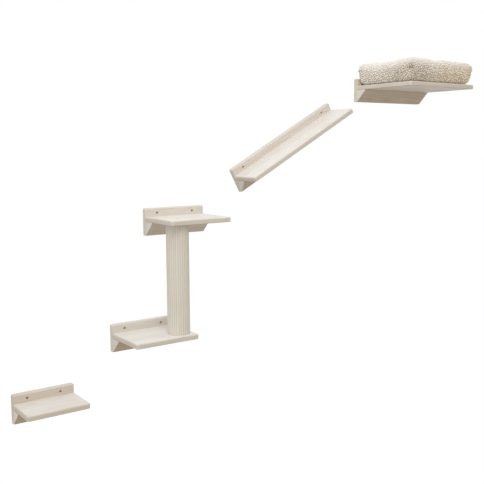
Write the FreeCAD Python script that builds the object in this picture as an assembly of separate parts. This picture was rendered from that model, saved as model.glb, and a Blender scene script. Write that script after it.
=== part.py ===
import FreeCAD, Part
import math
import os
from FreeCAD import Placement, Rotation, Vector

# Wall mounted cat tree: a step, two shelves joined by a scratching post, a sloping ramp and a bed shelf.
# Every wooden unit is a back board, a tread butted against its front, and a wedge block under the tread.
# Millimetres. X runs right along the wall, Y runs into the wall, Z is up, and the wall is the plane Y = 0.
# The origin is midway between the step's two wall holes, on the wall.

# --- section shared by the wooden units ---
board_h = 110.0             # back board, top to bottom
board_t = 20.0              # back board, thickness
tread_t = 20.0              # tread, thickness
lip_h = 34.0                # how far the back board stands above the tread
wedge_reach = 56.0          # wedge block, out from the back board along the tread's underside
wedge_blunt = 2.0           # flat left on the wedge's two thin edges
wedge_ease = 1.5            # chamfer along the wedge's two sloping end edges
arris_r = 6.0               # rounding of the boards' long edges
corner_r = 11.0             # plan rounding of a tread's two front corners
under_chamfer = 2.0         # small flat along a tread's lower edges
eased_share = 1 / 3         # most of a board's thickness that one rounding or chamfer may take
blunt_share = 0.9           # most of the wedge's thin edges that its chamfer may take

# --- wall holes, two in each back board ---
hole_drop = 20.0            # board top down to the holes
hole_d = 6.5
sink_d = 12.0               # countersink at the front face
hole_inset = 55.0           # board end to hole
ramp_hole_inset = 60.0

# --- hidden joinery: a loose plywood tongue glued into grooves in the board and in the tread ---
tongue_t = 5.0
groove_deep = 10.0          # into each of the two pieces
groove_end = 20.0           # groove stops short of the boards' ends
glue_room = 0.5             # tongue short of the grooves' bottoms and ends
fit_gap = 0.05              # pieces in their holes and grooves, on each side

# --- the five units: length along the wall, tread depth in front of the board, place of the holes' middle ---
step_l = 240.0
step_depth = 155.0
shelf_l = 275.0
shelf_depth = 210.0
lower_x = 425.0
lower_z = 207.0
ramp_l = 630.0
ramp_depth = 145.0
ramp_x = 1154.0
ramp_z = 959.0
ramp_slope = 28.4           # degrees, rising to the right
bed_shelf_l = 440.0
bed_shelf_depth = 340.0
bed_shelf_x = 1823.0
bed_shelf_z = 1226.0

# --- scratching post between the two shelves ---
post_d = 90.0
post_l = 435.0
post_from_front = 65.0      # post axis to the shelves' front edge
post_in_lower = 55.0        # post axis to the lower shelf's right end
post_in_upper = 62.0        # post axis to the upper shelf's left end
cover_t = 4.5               # woven sisal cover
tube_wall = 5.0             # cardboard core
disc_t = 18.0               # wooden disc closing each end of the core
insert_d = 12.0             # threaded insert in the disc
insert_l = 15.0
bolt_d = 8.0
bolt_head_d = 16.0
bolt_socket = 5.0           # hexagon socket, across flats
bolt_socket_deep = 3.0

# --- plush bed, lifting off its shelf ---
bed_l = 438.0               # outer length and width across the rim
bed_w = 341.0
bed_h = 95.0
bed_lean = 14.0             # each side leans out by this much from foot to rim
bed_rim_w = 75.0            # thickness of the stuffed rim
bed_rim_round = 30.0
rim_share = 0.45            # most of the rim's thickness that its rounding may take
bed_foot_r = 10.0           # plan corners of the base cloth
bed_pad_r = 30.0            # plan corners of the floor pad
bed_behind = 8.0            # foot of the bed to the back board
bed_floor_t = 30.0          # stuffed floor pad
bed_base_t = 2.0            # non-slip cloth under the whole bed
sewn_gap = 0.3              # between the floor pad and the rim
strip_l = 240.0             # hook and loop strips
strip_w = 25.0
strip_t = 1.5
strip_inset = 35.0          # long edge of the bed's foot to the middle of a strip
strip_gap = 0.3             # between the hooks and the loops

# --- levels in a unit, measured from the line of its wall holes ---
board_top = hole_drop
board_low = hole_drop - board_h
tread_top = board_top - lip_h
tread_low = tread_top - tread_t


def block(x0, x1, y0, y1, z0, z1):
    """Box between two corners."""
    return Part.makeBox(x1 - x0, y1 - y0, z1 - z0, Vector(x0, y0, z0))


def lies_on(edge, axis, value):
    """True where the whole edge lies on the plane axis = value."""
    box = edge.BoundBox
    low = {"x": box.XMin, "y": box.YMin, "z": box.ZMin}[axis]
    high = {"x": box.XMax, "y": box.YMax, "z": box.ZMax}[axis]
    return abs(low - value) < 1e-3 and abs(high - value) < 1e-3


def turned(points, base, direction):
    """Solid of revolution from (radius, distance) points, laid from base along direction."""
    outline = Part.makePolygon([Vector(r, 0, d) for r, d in points + points[:1]])
    solid = Part.Face(outline).revolve(Vector(0, 0, 0), Vector(0, 0, 1), 360)
    solid.Placement = Placement(base, Rotation(Vector(0, 0, 1), direction))
    return solid


def one_solid(shape):
    """The single solid inside a result of a cut or a fillet."""
    return shape.Solids[0] if len(shape.Solids) == 1 else shape


# ---------------------------------------------------------------- wooden units

def at_end(edge, end):
    """True where the edge lies on one of the two end faces x = -end and x = end."""
    return lies_on(edge, "x", end) or lies_on(edge, "x", -end)


def back_board(length, inset):
    """Board against the wall: top and front edges rounded, the edge under the wedge square."""
    end = length / 2
    board = block(-end, end, -board_t, 0, board_low, board_top)
    rounded = []
    for edge in board.Edges:
        front = lies_on(edge, "y", -board_t) and not lies_on(edge, "z", board_low)
        if front or (lies_on(edge, "z", board_top) and at_end(edge, end)):
            rounded.append(edge)
    board = board.makeFillet(min(arris_r, board_t * eased_share), rounded)
    holes = [countersunk_hole(x) for x in (inset - end, end - inset)]
    return board.cut(holes + [groove(length)])


def countersunk_hole(x):
    """Cutter for one wall hole, its countersink opening at the board's front face."""
    hole_r = hole_d / 2
    sink_r = sink_d / 2
    past = 1.0
    points = [(0, -past), (hole_r, -past), (hole_r, board_t - sink_r + hole_r), (sink_r, board_t),
              (sink_r, board_t + past), (0, board_t + past)]
    return turned(points, Vector(x, 0, 0), Vector(0, -1, 0))


def tread(length, depth):
    """Board to stand on, square where it meets the back board and rounded on its three free sides."""
    end = length / 2
    front = -board_t - depth
    slab = block(-end, end, front, -board_t, tread_low, tread_top)
    corners = [e for e in slab.Edges if lies_on(e, "y", front) and at_end(e, end)]
    slab = slab.makeFillet(max(corner_r, arris_r + 1), corners)
    slab = slab.makeFillet(min(arris_r, tread_t * eased_share), free_edges(slab, tread_top))
    slab = slab.makeChamfer(min(under_chamfer, tread_t * eased_share), free_edges(slab, tread_low))
    return slab.cut(groove(length))


def free_edges(slab, z):
    """A tread's edges at height z, apart from the one against the back board."""
    return [e for e in slab.Edges if lies_on(e, "z", z) and not lies_on(e, "y", -board_t)]


def wedge_block(length):
    """Triangular block glued into the corner under the tread, as long as the board."""
    end = length / 2
    tip = -board_t - wedge_reach
    profile = [(-board_t, tread_low), (tip, tread_low), (tip, tread_low - wedge_blunt),
               (-board_t - wedge_blunt, board_low), (-board_t, board_low)]
    outline = Part.makePolygon([Vector(-end, y, z) for y, z in profile + profile[:1]])
    prism = Part.Face(outline).extrude(Vector(length, 0, 0))
    sloping = [e for e in prism.Edges
               if at_end(e, end) and min(e.BoundBox.YLength, e.BoundBox.ZLength) > wedge_blunt]
    return prism.makeChamfer(min(wedge_ease, wedge_blunt * blunt_share), sloping)


def groove(length, short=0.0, slack=0.0):
    """Slot across the joint between board and tread; short and slack turn it into the tongue."""
    end = length / 2 - groove_end - short
    deep = groove_deep - short
    middle = (tread_top + tread_low) / 2
    half = tongue_t / 2 + fit_gap - slack
    return block(-end, end, -board_t - deep, -board_t + deep, middle - half, middle + half)


def unit(name, length, depth, inset, x, z, slope=0.0):
    """All the pieces of one wooden unit, in place on the wall."""
    pieces = {
        "back_board": back_board(length, inset),
        "tread": tread(length, depth),
        "wedge_block": wedge_block(length),
        "tongue": groove(length, short=glue_room, slack=fit_gap),
    }
    place = Placement(Vector(x, 0, z), Rotation(Vector(0, -1, 0), slope))
    return {name + "_" + part: at(place, shape) for part, shape in pieces.items()}


def at(place, shape):
    """The shape, moved to its place."""
    moved = one_solid(shape).copy()
    moved.Placement = place.multiply(moved.Placement)
    return moved


# ------------------------------------------------------------- scratching post

post_x = lower_x + shelf_l / 2 - post_in_lower
post_y = -board_t - shelf_depth + post_from_front
post_foot = lower_z + tread_top
post_head = post_foot + post_l
upper_x = post_x - post_in_upper + shelf_l / 2
upper_z = post_head - tread_low
tube_r = post_d / 2 - cover_t


def ring(outer_r, inner_r, z0, z1):
    """Round sleeve standing on the post's axis."""
    foot = Vector(post_x, post_y, z0)
    return Part.makeCylinder(outer_r, z1 - z0, foot).cut(Part.makeCylinder(inner_r, z1 - z0, foot))


def post_end(face_z, inward):
    """Disc and threaded insert at one end; inward is +1 at the foot, -1 at the head."""
    face = Vector(post_x, post_y, face_z)
    into = Vector(0, 0, inward)
    disc_r = tube_r - tube_wall - fit_gap
    insert_r = insert_d / 2
    bore_r = bolt_d / 2 + fit_gap
    seat_r = insert_r + fit_gap
    seat_l = insert_l + fit_gap
    disc = turned([(seat_r, 0), (disc_r, 0), (disc_r, disc_t), (0, disc_t), (0, seat_l), (seat_r, seat_l)],
                  face, into)
    insert = turned([(bore_r, 0), (insert_r, 0), (insert_r, insert_l), (bore_r, insert_l)], face, into)
    return disc, insert


def post_bolt(face_z, inward, gap=0.0):
    """Countersunk bolt from the shelf's outer side into the insert; with a gap, the cutter for its hole."""
    shank = bolt_d / 2 + gap
    head = bolt_head_d / 2 + gap
    length = tread_t + insert_l
    start = Vector(post_x, post_y, face_z - inward * tread_t)
    into = Vector(0, 0, inward)
    bolt = turned([(0, 0), (head, 0), (shank, head - shank), (shank, length), (0, length)], start, into)
    if gap:
        return bolt
    across = bolt_socket / math.sqrt(3)
    hexagon = [Vector(across * math.cos(k * math.pi / 3), across * math.sin(k * math.pi / 3), 0)
               for k in range(7)]
    socket = Part.Face(Part.makePolygon(hexagon)).extrude(Vector(0, 0, bolt_socket_deep))
    socket.Placement = Placement(start, Rotation(Vector(0, 0, 1), into))
    return bolt.cut(socket)


def post():
    """Core tube with its cover, and what closes and fastens its two ends."""
    foot_disc, foot_insert = post_end(post_foot, 1)
    head_disc, head_insert = post_end(post_head, -1)
    return {
        "post_core_tube": ring(tube_r, tube_r - tube_wall, post_foot, post_head),
        "post_sisal_cover": ring(post_d / 2, tube_r + fit_gap, post_foot, post_head),
        "post_end_discs": Part.makeCompound([foot_disc, head_disc]),
        "post_inserts": Part.makeCompound([foot_insert, head_insert]),
        "post_bolts": Part.makeCompound([post_bolt(post_foot, 1), post_bolt(post_head, -1)]),
    }


# ------------------------------------------------------------------------- bed

bed_x = bed_shelf_x
bed_foot_l = bed_l - 2 * bed_lean
bed_foot_w = bed_w - 2 * bed_lean
bed_y = -board_t - bed_behind - bed_foot_w / 2
bed_z = bed_shelf_z + tread_top + 2 * strip_t + strip_gap


def rounded_rectangle(length, width, radius, z):
    """Closed outline about the bed's middle at height z."""
    x = length / 2 - radius
    y = width / 2 - radius
    slant = radius * math.sqrt(0.5)
    edges = []
    for sx, sy in ((1, 1), (-1, 1), (-1, -1), (1, -1)):
        first = Vector(sx * (x + radius), sy * y, z)
        middle = Vector(sx * (x + slant), sy * (y + slant), z)
        last = Vector(sx * x, sy * (y + radius), z)
        if sx * sy < 0:
            first, last = last, first
        if edges:
            edges.append(Part.makeLine(edges[-1].lastVertex().Point, first))
        edges.append(Part.Arc(first, middle, last).toShape())
    edges.append(Part.makeLine(edges[-1].lastVertex().Point, edges[0].firstVertex().Point))
    return Part.Wire(edges)


def prism(length, width, radius, z0, z1):
    """Upright prism on a rounded rectangle."""
    face = Part.Face(rounded_rectangle(length, width, radius, z0))
    return face.extrude(Vector(0, 0, z1 - z0))


def bolster(along, across, turn):
    """One stuffed side, along one edge of the bed's foot and mitred to its neighbours at 45 degrees.

    It is made at the front, then turned about the bed's middle.
    """
    foot = -across / 2
    rim = foot - bed_lean
    inner = rim + bed_rim_w
    end = along / 2 + bed_lean
    section = [(inner, bed_base_t), (foot, bed_base_t), (rim, bed_h), (inner, bed_h)]
    outline = Part.makePolygon([Vector(-end, y, z) for y, z in section + section[:1]])
    side = Part.Face(outline).extrude(Vector(2 * end, 0, 0))
    crest = [e for e in side.Edges if lies_on(e, "z", bed_h) and not at_end(e, end)]
    side = side.makeFillet(min(bed_rim_round, bed_rim_w * rim_share), crest)
    inner_end = end - bed_rim_w
    plan = [(-inner_end, inner), (inner_end, inner), (end, rim), (-end, rim)]
    outline = Part.makePolygon([Vector(x, y, 0) for x, y in plan + plan[:1]])
    side = side.common(Part.Face(outline).extrude(Vector(0, 0, bed_h)))
    side.rotate(Vector(0, 0, 0), Vector(0, 0, 1), turn)
    return side


def strips(z0):
    """Pair of flat strips under the bed's front and back."""
    reach = bed_foot_w / 2 - strip_inset
    pair = [block(-strip_l / 2, strip_l / 2, y - strip_w / 2, y + strip_w / 2, z0, z0 + strip_t)
            for y in (-reach, reach)]
    return Part.makeCompound(pair)


def bed():
    """Plush bed: four stuffed sides, a stuffed floor, the base cloth and its loop strips."""
    pad_l = bed_l - 2 * (bed_rim_w + sewn_gap)
    pad_w = bed_w - 2 * (bed_rim_w + sewn_gap)
    pieces = {
        "bed_front_bolster": bolster(bed_foot_l, bed_foot_w, 0),
        "bed_right_bolster": bolster(bed_foot_w, bed_foot_l, 90),
        "bed_back_bolster": bolster(bed_foot_l, bed_foot_w, 180),
        "bed_left_bolster": bolster(bed_foot_w, bed_foot_l, 270),
        "bed_floor_pad": prism(pad_l, pad_w, bed_pad_r, bed_base_t, bed_base_t + bed_floor_t),
        "bed_base_cloth": prism(bed_foot_l, bed_foot_w, bed_foot_r, 0, bed_base_t),
        "bed_loop_strips": strips(-strip_t),
        "bed_shelf_hook_strips": strips(-strip_t - strip_gap - strip_t),
    }
    place = Placement(Vector(bed_x, bed_y, bed_z), Rotation())
    return {name: at(place, shape) for name, shape in pieces.items()}


def main():
    os.makedirs("parts", exist_ok=True)
    nodes = {}
    nodes.update(unit("step", step_l, step_depth, hole_inset, 0, 0))
    nodes.update(unit("lower_shelf", shelf_l, shelf_depth, hole_inset, lower_x, lower_z))
    nodes.update(unit("upper_shelf", shelf_l, shelf_depth, hole_inset, upper_x, upper_z))
    nodes.update(unit("ramp", ramp_l, ramp_depth, ramp_hole_inset, ramp_x, ramp_z, ramp_slope))
    nodes.update(unit("bed_shelf", bed_shelf_l, bed_shelf_depth, hole_inset, bed_shelf_x, bed_shelf_z))
    lower_hole = post_bolt(post_foot, 1, fit_gap)
    upper_hole = post_bolt(post_head, -1, fit_gap)
    nodes["lower_shelf_tread"] = one_solid(nodes["lower_shelf_tread"].cut(lower_hole))
    nodes["upper_shelf_tread"] = one_solid(nodes["upper_shelf_tread"].cut(upper_hole))
    nodes.update(post())
    nodes.update(bed())
    for name, shape in nodes.items():
        shape.exportStep("parts/" + name + ".step")


main()
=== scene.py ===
import math

import bpy
import numpy as np
from mathutils import Euler, Matrix, Vector, noise
from mathutils.kdtree import KDTree


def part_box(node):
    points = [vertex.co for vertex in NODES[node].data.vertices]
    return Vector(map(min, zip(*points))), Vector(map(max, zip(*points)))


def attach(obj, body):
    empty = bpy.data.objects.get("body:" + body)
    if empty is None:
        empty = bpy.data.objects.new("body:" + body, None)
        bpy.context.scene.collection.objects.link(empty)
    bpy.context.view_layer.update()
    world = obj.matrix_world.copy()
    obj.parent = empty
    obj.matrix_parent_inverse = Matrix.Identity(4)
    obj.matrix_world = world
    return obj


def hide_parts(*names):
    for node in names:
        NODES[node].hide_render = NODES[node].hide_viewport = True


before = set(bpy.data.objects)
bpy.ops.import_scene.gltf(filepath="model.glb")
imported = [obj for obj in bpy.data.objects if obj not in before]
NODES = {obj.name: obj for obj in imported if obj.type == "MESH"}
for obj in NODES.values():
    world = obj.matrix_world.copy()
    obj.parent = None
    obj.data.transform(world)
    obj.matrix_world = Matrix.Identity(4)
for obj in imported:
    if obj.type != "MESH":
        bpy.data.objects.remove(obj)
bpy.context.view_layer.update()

# Looks of a wall mounted cat tree: whitewashed pine, a post in ribbed sisal weave and a curly plush bed.
# Metres. X runs right along the wall, Y into the wall, Z is up; the wall is the plane Y = 0.

MM = 0.001

# --- what the photograph was taken with ---
CAMERA_PLACE = Vector((-0.9621, -2.6728, 0.9312))
CAMERA_YAW = 35.36          # degrees, to the right of straight at the wall
CAMERA_PITCH = -7.39
CAMERA_ROLL = -0.29
CAMERA_LENS = 55.44         # millimetres on a sensor 36 mm wide

# --- the ramp, the one unit that isn't level ---
RAMP_SLOPE = math.radians(28.4)


def linear(*shares):
    """Linear colour with alpha from sRGB shares of 1."""
    return tuple(v / 12.92 if v <= 0.04045 else ((v + 0.055) / 1.055) ** 2.4 for v in shares) + (1.0,)


# --- finishes ---
WHITEWASH = linear(0.905, 0.895, 0.878)
PINE = linear(0.78, 0.69, 0.57)
RAW_PINE = linear(0.752, 0.670, 0.562)
RAW_RING = linear(0.60, 0.50, 0.40)
DRILLED_PINE = linear(0.78, 0.70, 0.59)
SISAL = linear(0.915, 0.900, 0.862)
SISAL_SHADE = linear(0.76, 0.71, 0.61)
PLUSH = linear(0.957, 0.938, 0.902)
PLUSH_PAINTED_WARM_TIPS = linear(0.965, 0.918, 0.840)
PLUSH_SHADED_DEPTH = linear(0.60, 0.505, 0.38)
PLUSH_PAINTED_WARM_DEPTH = linear(0.65, 0.515, 0.33)
BASE_CLOTH = linear(0.86, 0.83, 0.77)
BASE_CLOTH_SHADE = linear(0.69, 0.64, 0.56)
GRIP_DOT = linear(0.70, 0.68, 0.64)
THREAD = linear(0.86, 0.83, 0.77)
TAPE = linear(0.93, 0.92, 0.89)
TAPE_SHADE = linear(0.74, 0.72, 0.67)
PLY = linear(0.86, 0.75, 0.58)
PLY_DARK = linear(0.62, 0.47, 0.31)
CARD = linear(0.60, 0.54, 0.46)
CARD_DARK = linear(0.47, 0.41, 0.34)
ZINC = linear(0.72, 0.73, 0.75)
ZINC_BLOOM = linear(0.60, 0.62, 0.66)
NYLON_MILK = linear(0.84, 0.83, 0.80)


# --- shader nets ---

class Net:
    """A node tree being wired. An input takes a plain value or another node's socket."""

    def __init__(self, tree):
        self.tree = tree

    def feed(self, socket, value):
        if isinstance(value, bpy.types.NodeSocket):
            self.tree.links.new(value, socket)
        else:
            socket.default_value = value

    def add(self, kind, inputs=None, **settings):
        node = self.tree.nodes.new(kind)
        for name, value in settings.items():
            setattr(node, name, value)
        for name, value in (inputs or {}).items():
            self.feed(node.inputs[name], value)
        return node

    def math(self, operation, a, b=0.0, c=0.0, clamp=False):
        node = self.add("ShaderNodeMath", {0: a, 1: b, 2: c}, operation=operation, use_clamp=clamp)
        return node.outputs[0]

    def times(self, a, b):
        return self.math("MULTIPLY", a, b)

    def plus(self, a, b):
        return self.math("ADD", a, b)

    def vector(self, operation, a, b=(0.0, 0.0, 0.0)):
        node = self.add("ShaderNodeVectorMath", {0: a, 1: b}, operation=operation)
        return node.outputs["Value" if operation in ("LENGTH", "DISTANCE", "DOT_PRODUCT") else "Vector"]

    def split(self, vector):
        return self.add("ShaderNodeSeparateXYZ", {0: vector}).outputs[:]

    def join(self, x, y, z):
        return self.add("ShaderNodeCombineXYZ", {0: x, 1: y, 2: z}).outputs[0]

    def rise(self, value, low, high):
        """0 below low, 1 above high, smooth between."""
        node = self.add("ShaderNodeMapRange", {0: value, 1: low, 2: high}, interpolation_type="SMOOTHSTEP")
        return node.outputs[0]

    def fall(self, value, low, high):
        """1 below low, 0 above high, smooth between."""
        return self.math("SUBTRACT", 1.0, self.rise(value, low, high))

    def weighed(self, start, *terms, clamp=False):
        """The start plus each (value, weight) in turn; clamp keeps the whole between 0 and 1."""
        *before, last = terms
        for value, weight in before:
            start = self.math("MULTIPLY_ADD", value, weight, start)
        return self.math("MULTIPLY_ADD", *last, start, clamp=clamp)

    def mix(self, share, a, b):
        """Colour a at share 0, b at share 1."""
        node = self.tree.nodes.new("ShaderNodeMix")
        node.data_type = "RGBA"
        for place, value in ((0, share), (6, a), (7, b)):
            self.feed(node.inputs[place], value)
        return node.outputs[2]

    def noise(self, position, scale, detail=2.0, roughness=0.5, distortion=0.0, out="Fac"):
        node = self.add("ShaderNodeTexNoise", {"Vector": position, "Scale": scale, "Detail": detail,
                                               "Roughness": roughness, "Distortion": distortion})
        return node.outputs[out]

    def use(self, group, **inputs):
        """A node group with its inputs given by name, spaces written as underscores."""
        named = {name.replace("_", " "): value for name, value in inputs.items()}
        return self.add("ShaderNodeGroup", named, node_tree=group).outputs


def node_group(name, vectors, numbers, outputs):
    """Empty shader node group; its numbers come with their usual values."""
    tree = bpy.data.node_groups.new(name, "ShaderNodeTree")
    for label in vectors:
        tree.interface.new_socket(label, in_out="INPUT", socket_type="NodeSocketVector")
    for label, value in numbers.items():
        socket = tree.interface.new_socket(label, in_out="INPUT", socket_type="NodeSocketFloat")
        socket.default_value = value
    for label in outputs:
        kind = "NodeSocketColor" if label == "Colour" else "NodeSocketFloat"
        tree.interface.new_socket(label, in_out="OUTPUT", socket_type=kind)
    net = Net(tree)
    return net, net.add("NodeGroupInput").outputs, net.add("NodeGroupOutput").inputs


def material(name):
    """New material with its net, its shader's inputs and the position on the object."""
    made = bpy.data.materials.new(name)
    made.use_nodes = True
    net = Net(made.node_tree)
    position = net.add("ShaderNodeTexCoord").outputs["Object"]
    return made, net, made.node_tree.nodes["Principled BSDF"].inputs, position


def surface(net, shader, colour, rough, height, depth):
    """Feeds a shader its colour, its roughness and a bump that is depth metres deep at a height of 1."""
    net.feed(shader["Base Color"], colour)
    net.feed(shader["Roughness"], rough)
    bump = net.add("ShaderNodeBump", {"Height": height, "Distance": depth, "Strength": 1.0})
    net.feed(shader["Normal"], bump.outputs[0])


# --- shared effects ---

def make_annual_rings():
    """Growth rings and fibres of glued pine staves: X along the grain, Y across, Z through the board."""
    net, given, result = node_group(
        "annual_rings", ["Position"], {"Seed": 0.0, "Ring Spacing": 4 * MM, "Stave Width": 60 * MM},
        ["Ring", "Fibre", "Tone", "Glue Line"])
    x, y, z = net.split(given["Position"])
    across = net.plus(net.math("DIVIDE", y, given["Stave Width"]), given["Seed"])
    stave = net.math("FLOOR", across)
    inside = net.math("SUBTRACT", net.math("SUBTRACT", across, stave), 0.5)
    chance = net.add("ShaderNodeTexWhiteNoise", {"Vector": net.join(stave, given["Seed"], 0.0)})
    chance_y, chance_z, chance_x = net.split(chance.outputs["Color"])
    along = net.plus(x, net.times(chance_x, 20.0))
    wobble = net.noise(net.join(along, stave, given["Seed"]), 2.2, detail=1.0, out="Color")
    wobble_y, wobble_z, _ = net.split(net.vector("SUBTRACT", wobble, (0.5, 0.5, 0.5)))
    heart_y = net.weighed(-0.03, (chance_y, 0.06), (wobble_y, 0.04))
    heart_z = net.weighed(0.02, (chance_z, 0.05), (wobble_z, 0.04))
    side = net.plus(net.times(inside, given["Stave Width"]), heart_y)
    reach = net.vector("LENGTH", net.join(0.0, side, net.plus(z, heart_z)))
    waver = net.noise(net.vector("MULTIPLY", net.join(along, y, z), (5.0, 40.0, 40.0)), 1.0)
    reach = net.weighed(reach, (waver, 0.003))
    year = net.math("FRACT", net.math("DIVIDE", reach, given["Ring Spacing"]))
    late = net.times(net.math("POWER", year, 2.6), net.fall(year, 0.9, 1.0))
    strands = net.vector("MULTIPLY", net.join(along, y, z), (7.0, 230.0, 230.0))
    net.feed(result["Ring"], late)
    net.feed(result["Fibre"], net.noise(strands, 1.0, detail=3.0))
    net.feed(result["Tone"], chance.outputs["Value"])
    net.feed(result["Glue Line"], net.rise(net.math("ABSOLUTE", inside), 0.4925, 0.499))
    return net.tree


def make_worn_edges():
    """1 along the edges of a board, uneven as rubbed paint is; the position is from the board's middle."""
    net, given, result = node_group("worn_edges", ["Position", "Half Size"], {"Width": 2 * MM}, ["Wear"])
    inside = net.vector("SUBTRACT", given["Half Size"], net.vector("ABSOLUTE", given["Position"]))
    x, y, z = net.split(inside)
    low, high = net.math("MINIMUM", x, y), net.math("MAXIMUM", x, y)
    from_edge = net.math("MAXIMUM", low, net.math("MINIMUM", high, z))
    uneven = net.noise(given["Position"], 55.0, detail=3.0, roughness=0.65)
    from_edge = net.weighed(from_edge, (uneven, net.times(given["Width"], 1.6)))
    ratio = net.math("DIVIDE", from_edge, given["Width"])
    net.feed(result["Wear"], net.fall(ratio, 0.6, 1.9))
    return net.tree


def make_drilled_wood():
    """1 in two round holes at (+-X, Y) of the board, where the finish doesn't reach."""
    net, given, result = node_group("drilled_wood", ["Position", "Hole"], {"Radius": 0.0}, ["Bare"])
    x, y, _ = net.split(given["Position"])
    away = net.vector("DISTANCE", net.join(net.math("ABSOLUTE", x), y, 0.0), given["Hole"])
    from_rim = net.math("SUBTRACT", away, given["Radius"])
    net.feed(result["Bare"], net.fall(from_rim, -0.7 * MM, 0.1 * MM))
    return net.tree


def make_whitewash():
    """Thin white stain rubbed over pine: it lies in the soft wood and lets the hard rings show."""
    net, given, result = node_group(
        "whitewash", ["Position"],
        {"Ring": 0.0, "Fibre": 0.5, "Tone": 0.5, "Glue Line": 0.0, "Wear": 0.0, "Bare": 0.0, "Thin": 0.0},
        ["Colour", "Roughness", "Height"])
    ring, fibre, bare = given["Ring"], given["Fibre"], given["Bare"]
    cloud = net.noise(given["Position"], 9.0, detail=3.0)
    show = net.weighed(-0.21, (ring, 0.34), (fibre, 0.18), (cloud, 0.26), (given["Tone"], 0.16),
                       (given["Wear"], 0.30), clamp=True)
    hard = net.weighed(-0.31, (ring, 0.45), (fibre, 0.9), clamp=True)
    colour = net.mix(show, WHITEWASH, PINE)
    colour = net.mix(net.times(given["Glue Line"], 0.35), colour, PINE)
    raw = net.mix(hard, RAW_PINE, RAW_RING)
    # Thin turns the wash towards raw pine: a thinner wash on the back boards, painted shade on the wedges
    # and the tread edges and undersides.
    colour = net.mix(given["Thin"], colour, raw)
    net.feed(result["Colour"], net.mix(net.times(bare, 0.92), colour, DRILLED_PINE))
    net.feed(result["Roughness"], net.weighed(0.42, (show, 0.3), (bare, 0.3)))
    net.feed(result["Height"], net.weighed(1.0, (ring, -0.7), (fibre, -0.3)))
    return net.tree


def make_thread_weave():
    """Plain weave of fine thread in the X-Y plane: crests, the gaps between threads, and stray fibres."""
    net, given, result = node_group("thread_weave", ["Position"], {"Spacing": 1 * MM}, ["Thread", "Fuzz"])
    scaled = net.vector("SCALE", given["Position"])
    net.feed(scaled.node.inputs["Scale"], net.math("DIVIDE", math.pi, given["Spacing"]))
    x, y, _ = net.split(scaled)
    warp, weft = net.math("SINE", x), net.math("SINE", y)
    crests = net.math("MAXIMUM", net.math("ABSOLUTE", warp), net.math("ABSOLUTE", weft))
    over = net.weighed(0.75, (net.times(warp, weft), 0.25))
    net.feed(result["Thread"], net.times(crests, over))
    fuzz = net.noise(given["Position"], 900.0, detail=3.0, roughness=0.7, distortion=0.6)
    net.feed(result["Fuzz"], fuzz)
    return net.tree


def make_curled_fibre():
    """Fine crimped fibres: short curved strokes, all over."""
    net, given, result = node_group("curled_fibre", ["Position"], {"Scale": 300.0}, ["Fibre", "Cloud"])
    bent = net.noise(given["Position"], net.times(given["Scale"], 0.35), detail=1.0, out="Color")
    moved = net.vector("ADD", given["Position"], net.vector("MULTIPLY", bent, (0.012, 0.012, 0.012)))
    strokes = net.noise(moved, given["Scale"], detail=3.0, roughness=0.62, distortion=1.3)
    net.feed(result["Fibre"], strokes)
    net.feed(result["Cloud"], net.noise(given["Position"], 14.0))
    return net.tree


RINGS = make_annual_rings()
EDGES = make_worn_edges()
HOLES = make_drilled_wood()
WASH = make_whitewash()
WEAVE = make_thread_weave()
CURLS = make_curled_fibre()


# --- the wood ---

UNITS = ("step", "lower_shelf", "upper_shelf", "ramp", "bed_shelf")
BOARD_SEEDS = {"ramp": 9.38}    # any other board takes its unit's
HOLE_DROP = 20 * MM         # board top down to its wall holes
HOLE_INSETS = {"ramp": 60 * MM}
USUAL_INSET = 55 * MM
SINK_R = 6.2 * MM
STAVE_W = 55 * MM           # staves that a tread or a wedge is glued from
RING_SPACING = 4.2 * MM
WORN_W = 2.2 * MM           # width of the rubbed edges


def board_frame(node, slope, upright):
    """Turn to a board's own axes (X along, Y across, Z through it), its middle and half its size there."""
    turn = Euler((0, slope, 0)).to_matrix()
    if upright:
        turn = Matrix(((1, 0, 0), (0, 0, 1), (0, -1, 0))) @ turn
    corners = np.array([turn @ v.co for v in NODES[node].data.vertices])
    low, high = corners.min(0), corners.max(0)
    return turn, Vector((low + high) / 2), Vector((high - low) / 2)


# How little wash a board has, from 0 to 1: as a whole, and on a tread's underside, front edge and ends.
# The back boards and the step's tread are washed thinner; a wedge's value, and those for a tread's
# underside, front edge and ends, are painted shade: darker raw pine where less light falls.
THIN_WASH_AND_SHADE = {"step_back_board": 0.38, "ramp_back_board": 0.27, "bed_shelf_back_board": 0.30,
             "lower_shelf_back_board": 0.18, "upper_shelf_back_board": 0.22, "step_tread": 0.06,
             "step_wedge_block": 1.0, "upper_shelf_wedge_block": 0.42, "bed_shelf_wedge_block": 0.66}
WEDGE_PAINTED_SHADE = 0.9            # any other wedge
UNDER_PAINTED_SHADE = 0.42
EDGE_PAINTED_SHADE = 0.38


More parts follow.
